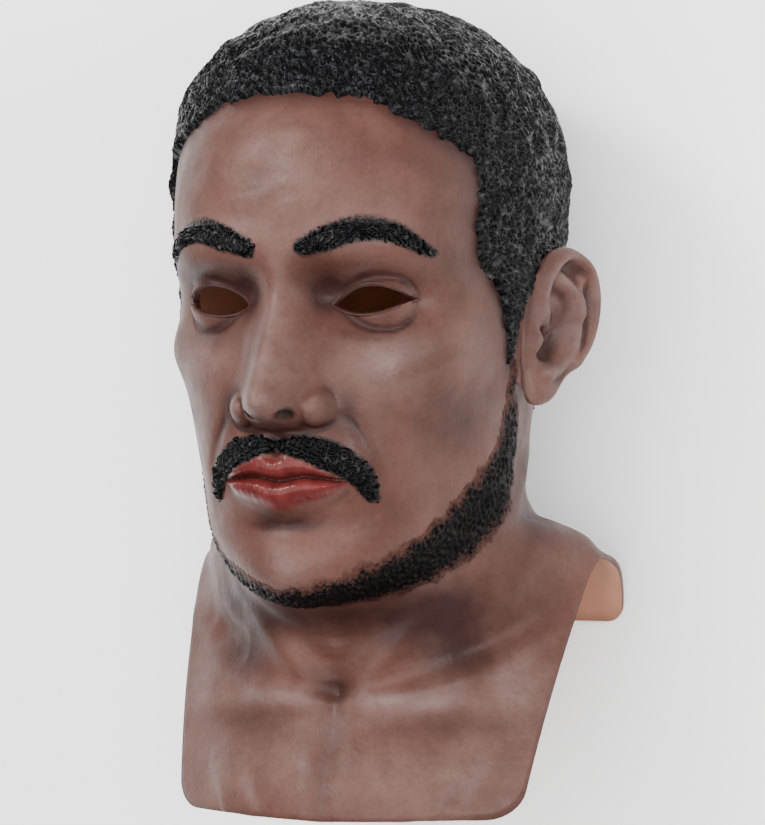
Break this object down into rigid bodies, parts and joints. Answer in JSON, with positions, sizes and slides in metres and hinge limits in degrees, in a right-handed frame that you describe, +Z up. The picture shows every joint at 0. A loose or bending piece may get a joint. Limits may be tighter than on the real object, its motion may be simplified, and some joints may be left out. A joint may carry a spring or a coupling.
{
  "type": "realistic full-head mask",
  "caption": "Thin latex full-head mask of a bearded adult with open eyes, moulded curly hair, ears, a neck and a short chest bib, lying on its back.",
  "frame": {"origin": "centre of the bounding box's bottom face, on the surface that the mask lies on", "axes": "+Z up, out of the face; +Y towards the crown of the head; +X towards the wearer's left"},
  "size_m": [0.1932, 0.3438, 0.2279],
  "materials": {
    "painted latex": "satin, airbrushed brown",
    "hair paint": "gloss black over moulded curls",
    "bare latex": "matt, unpainted inside"
  },
  "bodies": {
    "root": {"mask": "painted latex"}
  },
  "joints": []
}
